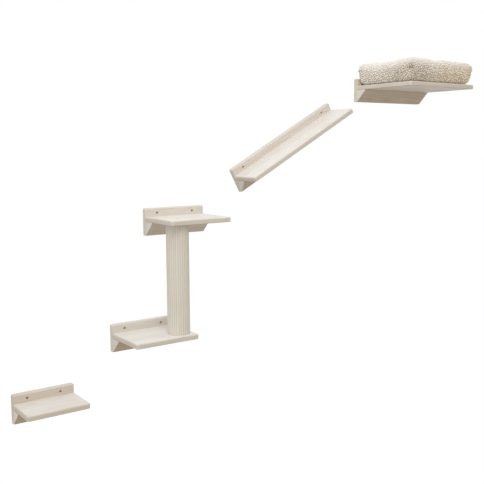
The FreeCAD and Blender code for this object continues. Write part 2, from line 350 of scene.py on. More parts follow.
def pine_material(node, seed, slope, upright, edges, holes):
    """Whitewashed pine whose grain runs along this board."""
    turn, middle, half = board_frame(node, slope, upright)
    made, net, shader, position = material("whitewashed_pine_" + node)
    mapping = {"Vector": position, "Location": -middle, "Rotation": turn.to_euler()}
    own = net.add("ShaderNodeMapping", mapping).outputs[0]
    stave = 2 * half.y if upright else STAVE_W
    wood = net.use(RINGS, Position=own, Seed=seed, Ring_Spacing=RING_SPACING, Stave_Width=stave)
    worn = net.use(EDGES, Position=own, Half_Size=half, Width=WORN_W if edges else 0.1 * MM)
    hole = (half.x - holes, half.y - HOLE_DROP, 0.0) if holes else (0.0, 0.0, 0.0)
    bare = net.use(HOLES, Position=own, Hole=hole, Radius=SINK_R if holes else 0.0)
    x, y, z = net.split(own)
    # A wedge's sloping and hidden faces get painted shade as thinner wash; its end faces keep the full
    # wash.
    if node.endswith("wedge_block"):
        from_end = net.math("SUBTRACT", half.x, net.math("ABSOLUTE", x))
        thin = net.times(net.rise(from_end, 0.4 * MM, 1.2 * MM), THIN_WASH_AND_SHADE.get(node, WEDGE_PAINTED_SHADE))
    # A tread gets painted shade as thinner wash on its underside, its front edge and its ends.
    elif node.endswith("tread"):
        under = net.fall(z, 0.5 * MM - half.z, 3 * MM - half.z)
        front = net.fall(y, 1 * MM - half.y, 6 * MM - half.y)
        end = net.rise(net.math("ABSOLUTE", x), half.x - 6 * MM, half.x - 1 * MM)
        edge = net.times(net.math("MAXIMUM", front, end), EDGE_PAINTED_SHADE)
        thin = net.plus(net.math("MAXIMUM", net.times(under, UNDER_PAINTED_SHADE), edge), THIN_WASH_AND_SHADE.get(node, 0.0))
    else:
        thin = THIN_WASH_AND_SHADE.get(node, 0.0)
    look = net.use(WASH, Position=own, Ring=wood["Ring"], Fibre=wood["Fibre"], Tone=wood["Tone"],
                   Glue_Line=wood["Glue Line"], Wear=worn["Wear"], Bare=bare["Bare"], Thin=thin)
    surface(net, shader, look["Colour"], look["Roughness"], look["Height"], 0.1 * MM)
    return made


def dress(node, finish):
    """Gives a CAD node its finish."""
    slots = NODES[node].material_slots
    for slot in slots:
        slot.material = finish
    if not slots:
        NODES[node].data.materials.append(finish)


def dress_wood():
    """Boards, treads and wedges, each cut from its own plank."""
    for n, unit in enumerate(UNITS):
        slope = RAMP_SLOPE if unit == "ramp" else 0.0
        inset = HOLE_INSETS.get(unit, USUAL_INSET)
        seed = 0.31 + 1.37 * n
        board, tread, wedge = unit + "_back_board", unit + "_tread", unit + "_wedge_block"
        dress(board, pine_material(board, BOARD_SEEDS.get(unit, seed), slope, True, True, inset))
        dress(tread, pine_material(tread, seed + 0.43, slope, False, True, 0.0))
        dress(wedge, pine_material(wedge, seed + 0.89, slope, False, False, 0.0))
        dress(unit + "_tongue", PLYWOOD)


# --- hidden and small parts ---

PLY_T = 1.4 * MM            # one ply
STRIP_RISE = 90 * MM        # card strip, one turn to the next


def plywood_material():
    """Thin plies, light and dark by turns, with a streaky face."""
    made, net, shader, position = material("birch_plywood")
    _, _, z = net.split(position)
    ply = net.math("FRACT", net.math("DIVIDE", z, PLY_T))
    dark = net.rise(net.math("ABSOLUTE", net.math("SUBTRACT", ply, 0.5)), 0.2, 0.3)
    streak = net.noise(net.vector("MULTIPLY", position, (30.0, 600.0, 600.0)), 1.0, detail=3.0)
    share = net.weighed(-0.2, (streak, 0.6), (dark, 0.45), clamp=True)
    colour = net.mix(share, PLY, PLY_DARK)
    surface(net, shader, colour, net.weighed(0.55, (streak, 0.2)), streak, 0.2 * MM)
    return made


def card_material():
    """Cardboard wound in a spiral strip, its edge showing as a line."""
    made, net, shader, position = material("wound_card")
    x, y, z = net.split(net.vector("SUBTRACT", position, POST_AXIS))
    turn = net.math("DIVIDE", net.math("ARCTAN2", y, x), 2 * math.pi)
    strip = net.math("FRACT", net.plus(net.math("DIVIDE", z, STRIP_RISE), turn))
    edge = net.fall(strip, 0.0, 0.012)
    pulp = net.noise(position, 400.0, detail=4.0, roughness=0.7)
    share = net.weighed(-0.2, (pulp, 0.8), (edge, 0.6), clamp=True)
    colour = net.mix(share, CARD, CARD_DARK)
    surface(net, shader, colour, net.weighed(0.7, (pulp, 0.2)), net.math("SUBTRACT", pulp, edge), 0.3 * MM)
    return made


def zinc_material():
    """Zinc plated steel with turning marks round the post's axis and faint bloom."""
    made, net, shader, position = material("zinc_plated_steel")
    x, y, z = net.split(net.vector("SUBTRACT", position, POST_AXIS))
    reach = net.vector("LENGTH", net.join(x, y, 0.0))
    marks = net.noise(net.join(net.times(reach, 9000.0), net.times(z, 9000.0), 0.0), 1.0)
    bloom = net.noise(position, 700.0, detail=3.0)
    colour = net.mix(net.times(bloom, 0.5), ZINC, ZINC_BLOOM)
    surface(net, shader, colour, net.weighed(0.2, (bloom, 0.2), (marks, 0.15)), marks, 0.03 * MM)
    shader["Metallic"].default_value = 1.0
    return made


# --- mesh helpers ---

def mesh_object(name, points, faces, finish, smooth=True):
    """Object in the row frame from a list of points and faces."""
    mesh = bpy.data.meshes.new(name)
    mesh.from_pydata([tuple(p) for p in points], [], faces)
    mesh.update()
    if smooth:
        mesh.shade_smooth()
    if finish:
        mesh.materials.append(finish)
    made = bpy.data.objects.new(name, mesh)
    bpy.context.scene.collection.objects.link(made)
    return made


def points_of(mesh):
    """The mesh's vertices as an array, one row each."""
    flat = np.zeros(len(mesh.vertices) * 3)
    mesh.vertices.foreach_get("co", flat)
    return flat.reshape(-1, 3)


def normals_of(mesh):
    """The mesh's vertex normals as an array, one row each."""
    flat = np.zeros(len(mesh.vertices) * 3, np.float32)
    mesh.vertex_normals.foreach_get("vector", flat)
    return flat.reshape(-1, 3).astype(float)


def set_points(mesh, points):
    """Moves the mesh's vertices to the given rows."""
    mesh.vertices.foreach_set("co", points.astype(np.float32).ravel())
    mesh.update()


def ring_faces(rings, around, first=0):
    """Quads between rings of points laid out one after another."""
    faces = []
    for r in range(rings - 1):
        here, above = first + r * around, first + (r + 1) * around
        for c in range(around):
            d = (c + 1) % around
            faces.append((here + c, here + d, above + d, above + c))
    return faces


def capped_rings(rings, around, first=0):
    """Faces of a closed form: rings of points, with a cap on the first and the last."""
    faces = ring_faces(rings, around, first)
    last = first + (rings - 1) * around
    faces.append(tuple(range(first, first + around))[::-1])
    faces.append(tuple(range(last, last + around)))
    return faces


def squared_circle(count, upper, lower):
    """A ring of points from -1 to 1 both ways: 2 makes a half of it round, a higher number squarer."""
    angle = np.linspace(0, 2 * math.pi, count, endpoint=False)
    power = 2 / np.where(np.sin(angle) > 0, upper, lower)
    return [np.sign(part) * np.abs(part) ** power for part in (np.cos(angle), np.sin(angle))]


def search_tree(points):
    """Tree that finds the nearest of some points."""
    tree = KDTree(len(points))
    for index, point in enumerate(points):
        tree.insert(point, index)
    tree.balance()
    return tree


def bake_modifiers(made):
    """Replaces the object's mesh by what its modifiers make of it."""
    graph = bpy.context.evaluated_depsgraph_get()
    mesh = bpy.data.meshes.new_from_object(made.evaluated_get(graph))
    made.modifiers.clear()
    made.data = mesh
    return made


def smoothstep(value, low, high):
    """0 below low, 1 above high, smooth between, for numbers and arrays."""
    t = np.clip((value - low) / (high - low), 0.0, 1.0)
    return t * t * (3 - 2 * t)


# --- the post's cover ---

COVER_LOW, COVER_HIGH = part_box("post_sisal_cover")
POST_AXIS = Vector(((COVER_LOW.x + COVER_HIGH.x) / 2, (COVER_LOW.y + COVER_HIGH.y) / 2, 0.0))
COVER_R = (COVER_HIGH.x - COVER_LOW.x) / 2
COVER_T = 4.5 * MM
RIBS = 31                   # upright ribs round the post
RIB_H = 1.5 * MM
RIB_POINTS = 10             # columns of points to a rib
PICK_H = 5.0 * MM           # one weft thread to the next, up a rib
PICK_POINTS = 6             # rows of points to a pick
PICK_DEEP = 0.45 * MM
SEAM_GAP = 1.2 * MM         # at the back, where the mat's two edges meet
SEAM_DEEP = 2.0 * MM
RIM_ROUND = 1.6 * MM


def cover_surface(turn, height):
    """Radius of the ribbed weave at an angle from the seam and a height, as arrays."""
    rib = turn / (2 * math.pi) * RIBS
    crest = np.abs(np.sin(rib * math.pi)) ** 0.7
    lean = 0.5 * (np.floor(rib) % 2)
    pick = np.abs(np.sin((height / PICK_H + lean) * math.pi)) ** 0.8
    radius = COVER_R - RIB_H * (1 - crest) - PICK_DEEP * (1 - pick) * crest
    from_seam = np.minimum(turn, 2 * math.pi - turn) * COVER_R
    radius -= SEAM_DEEP * (1 - smoothstep(from_seam, 0.0, SEAM_GAP))
    from_end = np.minimum(height - COVER_LOW.z, COVER_HIGH.z - height)
    over_rim = 1 - np.clip(from_end / RIM_ROUND, 0, 1)
    return radius - RIM_ROUND * (1 - np.sqrt(np.clip(1 - over_rim ** 2, 0, 1)))


def sisal_cover():
    """Woven mat with upright ribs, wrapped round the core and butted at the back."""
    columns = RIBS * RIB_POINTS
    rows = int((COVER_HIGH.z - COVER_LOW.z) / PICK_H * PICK_POINTS)
    turns = np.linspace(0, 2 * math.pi, columns, endpoint=False)
    heights = np.linspace(COVER_LOW.z, COVER_HIGH.z, rows)
    turn, height = np.meshgrid(turns, heights)
    radius = cover_surface(turn, height)
    points = [np.stack([radius * np.sin(turn), radius * np.cos(turn), height], -1).reshape(-1, 3)]
    inner = COVER_R - COVER_T
    for z in (COVER_HIGH.z, COVER_LOW.z):
        points.append(np.stack([inner * np.sin(turns), inner * np.cos(turns), np.full(columns, z)], -1))
    points.append(points[0][:columns])
    faces = ring_faces(rows + 3, columns)
    points = np.concatenate(points) + np.array(POST_AXIS)
    made = mesh_object("ribbed_sisal_cover", points, faces, sisal_material())
    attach(made, "root")
    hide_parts("post_sisal_cover")


def sisal_material():
    """Pale sisal yarn: hairy strands up each rib, with painted shade down between the ribs."""
    made, net, shader, position = material("woven_sisal")
    x, y, z = net.split(net.vector("SUBTRACT", position, POST_AXIS))
    turn = net.math("ARCTAN2", x, y)
    rib = net.weighed(float(RIBS), (turn, RIBS / (2 * math.pi)))
    crest = net.math("ABSOLUTE", net.math("SINE", net.times(rib, math.pi)))
    number = net.math("FLOOR", rib)
    chance = net.add("ShaderNodeTexWhiteNoise", {"W": number}, noise_dimensions="1D").outputs["Value"]
    strand = net.join(net.times(rib, 9.0), net.times(z, 90.0), chance)
    strand = net.noise(strand, 1.0, detail=3.0, roughness=0.65)
    hair = net.use(CURLS, Position=position, Scale=520.0)
    # painted shade down between the ribs, mixed with the strands' own tone
    painted_hollow_shade = net.fall(crest, 0.0, 0.75)
    shade = net.weighed(-0.28, (painted_hollow_shade, 0.55), (strand, 0.45), (hair["Cloud"], 0.25), (chance, 0.10),
                        clamp=True)
    colour = net.mix(shade, SISAL, SISAL_SHADE)
    height = net.weighed(strand, (hair["Fibre"], 0.5))
    surface(net, shader, colour, net.weighed(0.8, (strand, 0.15)), height, 0.6 * MM)
    return made


# --- plush bed ---

BOLSTERS = ("front", "right", "back", "left")
BASE_LOW, BASE_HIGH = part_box("bed_base_cloth")
BED_MIDDLE = Vector(((BASE_LOW.x + BASE_HIGH.x) / 2, (BASE_LOW.y + BASE_HIGH.y) / 2, BASE_HIGH.z))
RIM_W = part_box("bed_left_bolster")[1].x - BASE_LOW.x
BED_LEAN = 14 * MM          # the outer faces lean out by this much at the crest
STUFFING_ROOM = 1 * MM      # the cut cover is this much smaller than the stuffed piece
CREST_H = {"front": 99 * MM, "right": 94 * MM, "back": 90 * MM, "left": 94 * MM}
CORNER_H = (102 * MM, 99 * MM, 95 * MM, 97 * MM)   # front left, front right, back right, back left
CREST_SHAPE, FOOT_SHAPE = 3.0, 5.0      # how square the upper and lower half of a side's section are
LUMP_H = 1.2 * MM
SEAM_LAP = 4.0 * MM         # the sides press into one another at the corner seams
SEAM_FROM = 0.955           # share of a side's half length where its corner seam starts to pull it down
SEAM_PULL = 0.05            # share of the height that the seam takes off
PAD_SHAPE = 7.0
PAD_ROOM = 3 * MM           # the cut pad is this much smaller all round than the stuffed one
VOXEL = 5 * MM
FILLING_FRAMES = 20
MOST_SWELL = 8 * MM
CURL = 12 * MM              # one curl of the pile to the next
CURL_H = 5 * MM
PAINTED_SEAM_SHADE_REACH = 26 * MM       # how far the painted shade of a corner seam, where the pile parts, reaches to each side


def bolster_points(along, across, crest, corners, phase):
    """Cut cover of one side before stuffing, made at the bed's front about its middle, mitred at its ends.

    Its outer face leans out over a flat foot, and its crest rises or falls towards the two corners.
    """
    stations, around = 81, 44
    inner, foot = -across / 2 + RIM_W - STUFFING_ROOM, -across / 2 + STUFFING_ROOM
    share, height = (0.5 + 0.5 * part for part in squared_circle(around, CREST_SHAPE, FOOT_SHAPE))
    points = []
    for s in np.linspace(-1, 1, stations):
        seam = smoothstep(abs(s), SEAM_FROM, 1.0)
        lump = LUMP_H * (math.sin(7.3 * s + phase) + math.sin(12.1 * s + 2.6 * phase))
        top = crest + (corners[int(s > 0)] - crest) * smoothstep(abs(s), 0.3, 0.85) + lump
        z = height * (top - STUFFING_ROOM) * (1 - SEAM_PULL * seam)
        outer = foot - BED_LEAN * z / crest
        y = inner + (outer - inner) * (1 - share)
        half = along / 2 - (y + across / 2) + SEAM_LAP
        points.append(np.stack([s * half, y, z], -1))
    return np.concatenate(points), stations, around


def stuffed_form(name, points, rings, around):
    """Closed form from rings of points, remeshed evenly."""
    made = mesh_object(name, points, capped_rings(rings, around), None)
    remesh = made.modifiers.new("Remesh", "REMESH")
    remesh.mode = "VOXEL"
    remesh.voxel_size = VOXEL
    return bake_modifiers(made)


def hold(made, held):
    """Marks the points that a seam keeps in place."""
    group = made.vertex_groups.new(name="sewn")
    for index, share in enumerate(held):
        if share > 0:
            group.add([index], float(share), "REPLACE")


def fill(pieces):
    """Blows cut covers up to stuffed ones: cloth under pressure, its movement capped, then made fine."""
    scene = bpy.context.scene
    before = {made: points_of(made.data) for made in pieces}
    for made in pieces:
        cloth = made.modifiers.new("Cloth", "CLOTH")
        cloth.settings.use_pressure = True
        cloth.settings.uniform_pressure_force = 4.0
        cloth.settings.effector_weights.gravity = 0.0
        cloth.settings.vertex_group_mass = "sewn"
        cloth.point_cache.frame_start = 1
        cloth.point_cache.frame_end = FILLING_FRAMES
    for step in range(1, FILLING_FRAMES + 1):
        scene.frame_set(step)
    for made in pieces:
        bake_modifiers(made)
    scene.frame_set(1)
    for made, start in before.items():
        moved = points_of(made.data) - start
        length = np.maximum(np.linalg.norm(moved, axis=1), 1e-9)
        moved *= (np.minimum(length, MOST_SWELL) / length)[:, None]
        set_points(made.data, start + moved)
        finer = made.modifiers.new("Finer", "SUBSURF")
        finer.levels = 2
        bake_modifiers(made)


def from_corner_seams(points):
    """Distance from each point to the nearest of the four mitred corner seams."""
    x = (BASE_HIGH.x - BASE_LOW.x) / 2 - np.abs(points[:, 0] - BED_MIDDLE.x)
    y = (BASE_HIGH.y - BASE_LOW.y) / 2 - np.abs(points[:, 1] - BED_MIDDLE.y)
    return np.abs(x - y) / math.sqrt(2)


def curl_middles(points, chance):
    """Random points of a surface, none nearer to another than one curl is wide."""
    tree = search_tree(points)
    free = np.ones(len(points), bool)
    middles = []
    for index in chance.permutation(len(points)):
        if free[index]:
            middles.append(points[index])
            for _, near, _ in tree.find_range(points[index], 0.72 * CURL):
                free[near] = False
    return middles


def curl_pile(made, seed, floor, seamed):
    """Raises the pile's curls above its flat base, and keeps their height for the painted shade between
    them.

    A seamed piece gets painted shade where its pile parts along the corner seams, any other less painted
    shade between its curls.
    """
    mesh = made.data
    points, normals = points_of(mesh), normals_of(mesh)
    chance = np.random.default_rng(seed)
    noise.seed_set(seed + 1)    # 0 would stand for the clock
    middles = curl_middles(points[::5], chance)
    sizes = chance.uniform(0.6, 1.1, len(middles))
    tree = search_tree(middles)
    height = np.zeros(len(points))
    # A point takes its own curl's height, less near the next curl; bending it first makes borders wander.
    for index, point in enumerate(points):
        point = Vector(point)
        bent = point + noise.noise_vector(point / (0.8 * CURL)) * 0.28 * CURL
        (_, one, near), (_, _, next_one) = tree.find_n(bent, 2)
        slope = 1 - min(1.0, (next_one - near) / (0.75 * CURL))
        small = 1 - 2 * abs(noise.noise(point / (0.27 * CURL)))
        height[index] = 0.80 * sizes[one] * (1 - slope * slope) ** 0.75 + 0.24 * small
    clear = smoothstep(points[:, 2], floor, floor + 6 * MM)
    set_points(mesh, points + normals * ((height - 0.5) * CURL_H * clear)[:, None])
    if seamed:
        # painted shade where the pile parts along the corner seams, high up the sides
        parted = 1 - smoothstep(from_corner_seams(points), 0, PAINTED_SEAM_SHADE_REACH)
        height -= 0.30 * parted * smoothstep(points[:, 2], floor + 25 * MM, floor + 70 * MM)
    else:
        # less painted shade between the floor pad's curls
        height = 1 - 0.6 * (1 - height)
    curl = mesh.attributes.new("curl", "FLOAT", "POINT")
    curl.data.foreach_set("value", height.astype(np.float32))


def plush_material():
    """Curly plush: pale tips, painted shade between the curls and towards the front left corner, painted
    warm shade at the front right and painted light on top, with a soft sheen.
    """
    made, net, shader, position = material("cream_plush")
    curl = net.add("ShaderNodeAttribute", attribute_name="curl").outputs["Fac"]
    fibre = net.use(CURLS, Position=position, Scale=420.0)
    x, y, z = net.split(position)
    # painted shade, strongest at the bed's front left corner
    from_corner = net.vector("DISTANCE", net.join(x, y, 0.0), (BASE_LOW.x, BASE_LOW.y, 0.0))
    painted_corner_shade = net.fall(from_corner, 20 * MM, 190 * MM)
    # painted shade in the valleys between curls, with the fibres' and the cloud's own tone
    painted_valley_shade = net.math("SUBTRACT", 0.66, net.rise(curl, 0.0, 0.69))
    deep = net.weighed(painted_valley_shade, (fibre["Fibre"], 0.5), (fibre["Cloud"], 0.2), (painted_corner_shade, 0.18), clamp=True)
    # painted light on top: less painted shade and warmth where the top of the sides catches the light
    rubbed = net.rise(z, BASE_HIGH.z + 50 * MM, BASE_HIGH.z + 92 * MM)
    outside_painted_top_light = net.weighed(1.0, (rubbed, -0.8))
    deep = net.times(deep, outside_painted_top_light)
    # painted warm shade, strongest low down at the front right
    painted_warm_shade_middle = (BASE_HIGH.x - 70 * MM, BASE_LOW.y, BASE_HIGH.z)
    warm = net.fall(net.vector("DISTANCE", position, painted_warm_shade_middle), 30 * MM, 320 * MM)
    pile = net.mix(net.times(warm, outside_painted_top_light), PLUSH, PLUSH_PAINTED_WARM_TIPS)
    depth = net.mix(warm, PLUSH_SHADED_DEPTH, PLUSH_PAINTED_WARM_DEPTH)
    colour = net.mix(deep, pile, depth)
    surface(net, shader, colour, net.weighed(0.88, (deep, 0.1)), fibre["Fibre"], 0.4 * MM)
    shader["Sheen Weight"].default_value = 0.25
    shader["Sheen Roughness"].default_value = 0.5
    shader["Specular IOR Level"].default_value = 0.25
    return made


def plush_bolsters():
    """The four stuffed sides, in place and ready to fill."""
    made = {}
    foot_l, foot_w = BASE_HIGH.x - BASE_LOW.x, BASE_HIGH.y - BASE_LOW.y
    for quarter, side in enumerate(BOLSTERS):
        along, across = (foot_l, foot_w) if quarter % 2 == 0 else (foot_w, foot_l)
        corners = CORNER_H[quarter], CORNER_H[(quarter + 1) % 4]
        points, rings, around = bolster_points(along, across, CREST_H[side], corners, 1.7 * quarter)
        turn = np.array(Matrix.Rotation(quarter * math.pi / 2, 3, "Z"))
        points = points @ turn.T + np.array(BED_MIDDLE)
        piece = stuffed_form("plush_" + side + "_bolster", points, rings, around)
        height = points_of(piece.data)[:, 2] - BED_MIDDLE.z
        away = from_corner_seams(points_of(piece.data))
        sewn = np.maximum(1 - smoothstep(away, 1 * MM, 7 * MM), 1 - smoothstep(height, 1 * MM, 6 * MM))
        hold(piece, sewn)
        made[side] = piece
    return made


def pad_points(low, high):
    """Cut cover of the floor pad: a flat slab with rounded corners and a crowned top."""
    around, rings = 96, 12
    middle = (low + high) / 2
    half_x, half_y = (high.x - low.x) / 2 - PAD_ROOM, (high.y - low.y) / 2 - PAD_ROOM
    thick = high.z - low.z
    x, y = squared_circle(around, PAD_SHAPE, PAD_SHAPE)
    points = []
    for k in range(rings):
        t = k / (rings - 1) * math.pi
        spread = 0.02 + 0.98 * math.sin(t) ** 0.25 if 0 < k < rings - 1 else 0.02
        z = -math.cos(t) * thick / 2 * (0.82 if t > math.pi / 2 else 1.0)
        points.append(np.stack([half_x * x * spread, half_y * y * spread, np.full(around, z)], -1))
    return np.concatenate(points) + np.array(middle), rings, around


def plush_bed():
    """Bolsters and floor pad, filled together, then their pile."""
    bolsters = plush_bolsters()
    low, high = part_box("bed_floor_pad")
    pad = stuffed_form("plush_floor_pad", *pad_points(low, high))
    hold(pad, 1 - smoothstep(points_of(pad.data)[:, 2], low.z + 1 * MM, low.z + 8 * MM))
    fill([*bolsters.values(), pad])
    finish = plush_material()
    for seed, (side, made) in enumerate(bolsters.items()):
        curl_pile(made, seed, BED_MIDDLE.z, True)
        made.data.materials.append(finish)
        made.data.shade_smooth()
        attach(made, "bed")
        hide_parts("bed_" + side + "_bolster")
    curl_pile(pad, 9, low.z, False)
    pad.data.materials.append(finish)
    pad.data.shade_smooth()
    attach(pad, "bed")
    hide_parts("bed_floor_pad")


# --- under the bed: cloth and strips ---

CLOTH_T = 1.2 * MM
CLOTH_TUCK = 6 * MM         # the cloth's edge lies this far inside the bed's foot
CLOTH_CORNER = 12 * MM
CLOTH_SLACK = 0.45 * MM     # the cloth sags by this much within its edge
HEM = 7 * MM                # edge of a cloth or strip to its stitch line
STITCH = 3.0 * MM
STITCH_PITCH = 3.8 * MM
DOT_R = 1.1 * MM
DOT_PITCH = 9.0 * MM
TAPE_T = 0.55 * MM          # woven back of a hook or loop strip
SEAM_IN = 1.8 * MM          # a strip's edge to the seam that holds it
HOOK_PITCH = 2.2 * MM
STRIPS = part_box("bed_loop_strips")
STRIP_HALF_L = (STRIPS[1].x - STRIPS[0].x) / 2
STRIP_MIDDLE_X = (STRIPS[1].x + STRIPS[0].x) / 2
STRIP_W = 25 * MM


def tube_along(line, radius, sides=4):
    """Points and faces of a thin closed tube along a few points, its ends narrowed."""
    line = np.array(line)
    points = []
    for index, middle in enumerate(line):
        ahead = line[min(index + 1, len(line) - 1)] - line[max(index - 1, 0)]
        ahead /= np.linalg.norm(ahead)
        side = np.cross(ahead, (0.31, 0.22, 0.93))
        side /= np.linalg.norm(side)
        other = np.cross(ahead, side)
        r = radius * (0.55 if index in (0, len(line) - 1) else 1.0)
        for k in range(sides):
            turn = 2 * math.pi * k / sides
            points.append(middle + r * (side * math.cos(turn) + other * math.sin(turn)))
    return np.array(points), capped_rings(len(line), sides)


def many(name, template, places, turns, finish, sizes=None):
    """One mesh of many copies of a template, each turned about Z, sized and put in its place."""
    points, faces = template
    sizes = np.ones(len(places)) if sizes is None else sizes
    c, s = np.cos(turns)[:, None], np.sin(turns)[:, None]
    x = points[:, 0] * c - points[:, 1] * s
    y = points[:, 0] * s + points[:, 1] * c
    z = np.broadcast_to(points[:, 2], x.shape)
    copies = np.stack([x, y, z], -1) * sizes[:, None, None] + np.array(places)[:, None, :]
    all_faces = []
    for copy in range(len(places)):
        first = copy * len(points)
        all_faces.extend([tuple(first + v for v in face) for face in faces])
    return mesh_object(name, copies.reshape(-1, 3), all_faces, finish)


def rounded_outline(half_x, half_y, corner, steps=8):
    """Points round a rectangle with rounded corners, about its middle."""
    points = []
    for quarter in range(4):
        at_x = (half_x - corner) * (1 if quarter in (0, 3) else -1)
        at_y = (half_y - corner) * (1 if quarter < 2 else -1)
        for k in range(steps + 1):
            turn = (quarter + k / steps) * math.pi / 2
            points.append((at_x + corner * math.cos(turn), at_y + corner * math.sin(turn)))
    return np.array(points)


def round_trip(outline, pitch):
    """Evenly spaced places along a closed outline, with the direction there."""
    ends = np.roll(outline, -1, axis=0)
    lengths = np.linalg.norm(ends - outline, axis=1)
    along = np.concatenate([[0], np.cumsum(lengths)])
    wanted = np.arange(0, along[-1] - pitch / 2, pitch)
    index = np.searchsorted(along, wanted, side="right") - 1
    share = ((wanted - along[index]) / lengths[index])[:, None]
    step = ends[index] - outline[index]
    return outline[index] * (1 - share) + ends[index] * share, np.arctan2(step[:, 1], step[:, 0])


def stitches(name, outline, height, below, body):
    """A line of lockstitch round an outline, on the upper or the lower side of a cloth."""
    places, turns = round_trip(outline, STITCH_PITCH)
    sag = -1 if below else 1
    arc = [(t * STITCH / 2, 0.0, sag * 0.18 * MM * (1 - t * t)) for t in (-1, -0.6, 0, 0.6, 1)]
    spots = np.column_stack([places, np.full(len(places), height)])
    made = many(name, tube_along(arc, 0.28 * MM), spots, turns, THREAD_COTTON)
    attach(made, body)
    return made


def thread_material():
    """Twisted sewing thread."""
    made, net, shader, position = material("sewing_thread")
    twist = net.noise(position, 2600.0)
    colour = net.mix(twist, THREAD, TAPE_SHADE)
    surface(net, shader, colour, net.weighed(0.6, (twist, 0.2)), twist, 0.1 * MM)
    return made


def woven_material(name, light, dark, spacing, fuzz):
    """Plain weave with painted shade between its threads, and stray fibres."""
    made, net, shader, position = material(name)
    weave = net.use(WEAVE, Position=position, Spacing=spacing)
    share = net.weighed(0.85 - fuzz / 2, (weave["Thread"], -0.8), (weave["Fuzz"], fuzz), clamp=True)
    colour = net.mix(share, light, dark)
    height = net.weighed(weave["Thread"], (weave["Fuzz"], 0.4))
    surface(net, shader, colour, net.weighed(0.75, (share, 0.15)), height, spacing * 0.25)
    return made


def rubber_material():
    """Soft rubber dots, dusted with fibres."""
    made, net, shader, position = material("grip_rubber")
    dust = net.use(CURLS, Position=position, Scale=900.0)
    share = net.rise(dust["Fibre"], 0.45, 0.75)
    colour = net.mix(share, GRIP_DOT, BASE_CLOTH)
    surface(net, shader, colour, net.weighed(0.45, (share, 0.3)), dust["Fibre"], 0.1 * MM)
    return made


def ripple(x, y):
    """Slack of the base cloth between its seams."""
    return 0.22 * MM * (np.sin(x * 41 + 1.3 * np.sin(y * 23)) + np.sin(y * 57 + 0.8))


def dome():
    """Points and faces of one grip dot, bulging down."""
    profile = [(1.0, 0.15), (0.97, -0.2), (0.7, -0.42), (0.3, -0.52)]
    turns = np.linspace(0, 2 * math.pi, 10, endpoint=False)
    points = [(DOT_R * r * math.cos(turn), DOT_R * r * math.sin(turn), z * MM)
              for r, z in profile for turn in turns]
    faces = [face[::-1] for face in ring_faces(len(profile), len(turns))]
    faces.append(tuple(range(len(points) - len(turns), len(points)))[::-1])
    return np.array(points), faces


def base_cloth():
    """Woven cloth under the bed, its edge tucked inside the foot, with grip dots and a stitched hem."""
    half_x = (BASE_HIGH.x - BASE_LOW.x) / 2 - CLOTH_TUCK
    half_y = (BASE_HIGH.y - BASE_LOW.y) / 2 - CLOTH_TUCK
    middle = np.array((BED_MIDDLE.x, BED_MIDDLE.y))
    top = BASE_HIGH.z - 0.15 * MM
    outline, _ = round_trip(rounded_outline(half_x, half_y, CLOTH_CORNER), 5 * MM)
    rings, around = 34, len(outline)
    points = []
    for z, order in ((top, range(1, rings + 1)), (top - CLOTH_T, range(rings, 0, -1))):
        for ring in order:
            plan = outline * ring / rings
            edge = 1 - smoothstep(ring / rings, 0.9, 1.0)
            points.append(np.column_stack([plan + middle, z - (CLOTH_SLACK + ripple(*plan.T)) * edge]))
    weave = woven_material("base_cloth_weave", BASE_CLOTH, BASE_CLOTH_SHADE, 0.9 * MM, 0.4)
    faces = capped_rings(2 * rings, around)
    cloth = mesh_object("non_slip_base_cloth", np.concatenate(points), faces, weave)
    seam = rounded_outline(half_x - HEM, half_y - HEM, CLOTH_CORNER - HEM / 2) + middle
    hem = stitches("base_cloth_hem_stitches", seam, top - CLOTH_T - 0.05 * MM, True, "bed")
    spots = []
    across = DOT_PITCH * math.sqrt(3) / 2
    for row, y in enumerate(np.arange(-half_y + 2 * HEM, half_y - 2 * HEM, across)):
        by_strip = min(abs(y + middle[1] - strip_middles())) < 0.7 * STRIP_W
        for x in np.arange(-half_x + 2 * HEM + row % 2 * DOT_PITCH / 2, half_x - 2 * HEM, DOT_PITCH):
            if not (by_strip and abs(x) < STRIP_HALF_L + 8 * MM):
                spots.append((x + middle[0], y + middle[1], top - CLOTH_T - CLOTH_SLACK - ripple(x, y)))
    dots = many("base_cloth_grip_dots", dome(), spots, np.zeros(len(spots)), rubber_material())
    for piece in (cloth, dots):
        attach(piece, "bed")
    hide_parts("bed_base_cloth")


def strip_middles():
    """Y of the front and the back strip's middle."""
    return np.array((STRIPS[0].y + STRIP_W / 2, STRIPS[1].y - STRIP_W / 2))


def strip_back(name, z, finish):
    """The woven tapes of the two strips, each with a rounded, slightly raised selvedge."""
    points, faces, sections = [], [], 121
    section = [(-0.5, 0.2), (-0.496, 0.85), (-0.48, 1.0), (-0.45, 0.9), (0.45, 0.9), (0.48, 1.0),
               (0.496, 0.85), (0.5, 0.2), (0.48, 0.0), (-0.48, 0.0)]
    for middle_y in strip_middles():
        first = len(points)
        for x in np.linspace(-STRIP_HALF_L, STRIP_HALF_L, sections):
            for share, level in section:
                points.append((STRIP_MIDDLE_X + x, middle_y + share * STRIP_W, z + level * TAPE_T))
        faces.extend(capped_rings(sections, len(section), first))
    return mesh_object(name, points, faces, finish, smooth=False)


def strip_spots(z, seed):
    """Places for hooks or loops: rows along both strips, inside the stitch lines, slightly uneven."""
    chance = np.random.default_rng(seed)
    spots = []
    for middle_y in strip_middles():
        for y in np.arange(-STRIP_W / 2 + 3.4 * MM, STRIP_W / 2 - 3.2 * MM, HOOK_PITCH * 0.85):
            for x in np.arange(STRIPS[0].x + 3.4 * MM, STRIPS[1].x - 3.2 * MM, HOOK_PITCH):
                spots.append((x, middle_y + y, z))
    spots = np.array(spots)
    spots[:, :2] += chance.normal(0, 0.16 * MM, (len(spots), 2))
    return spots, chance


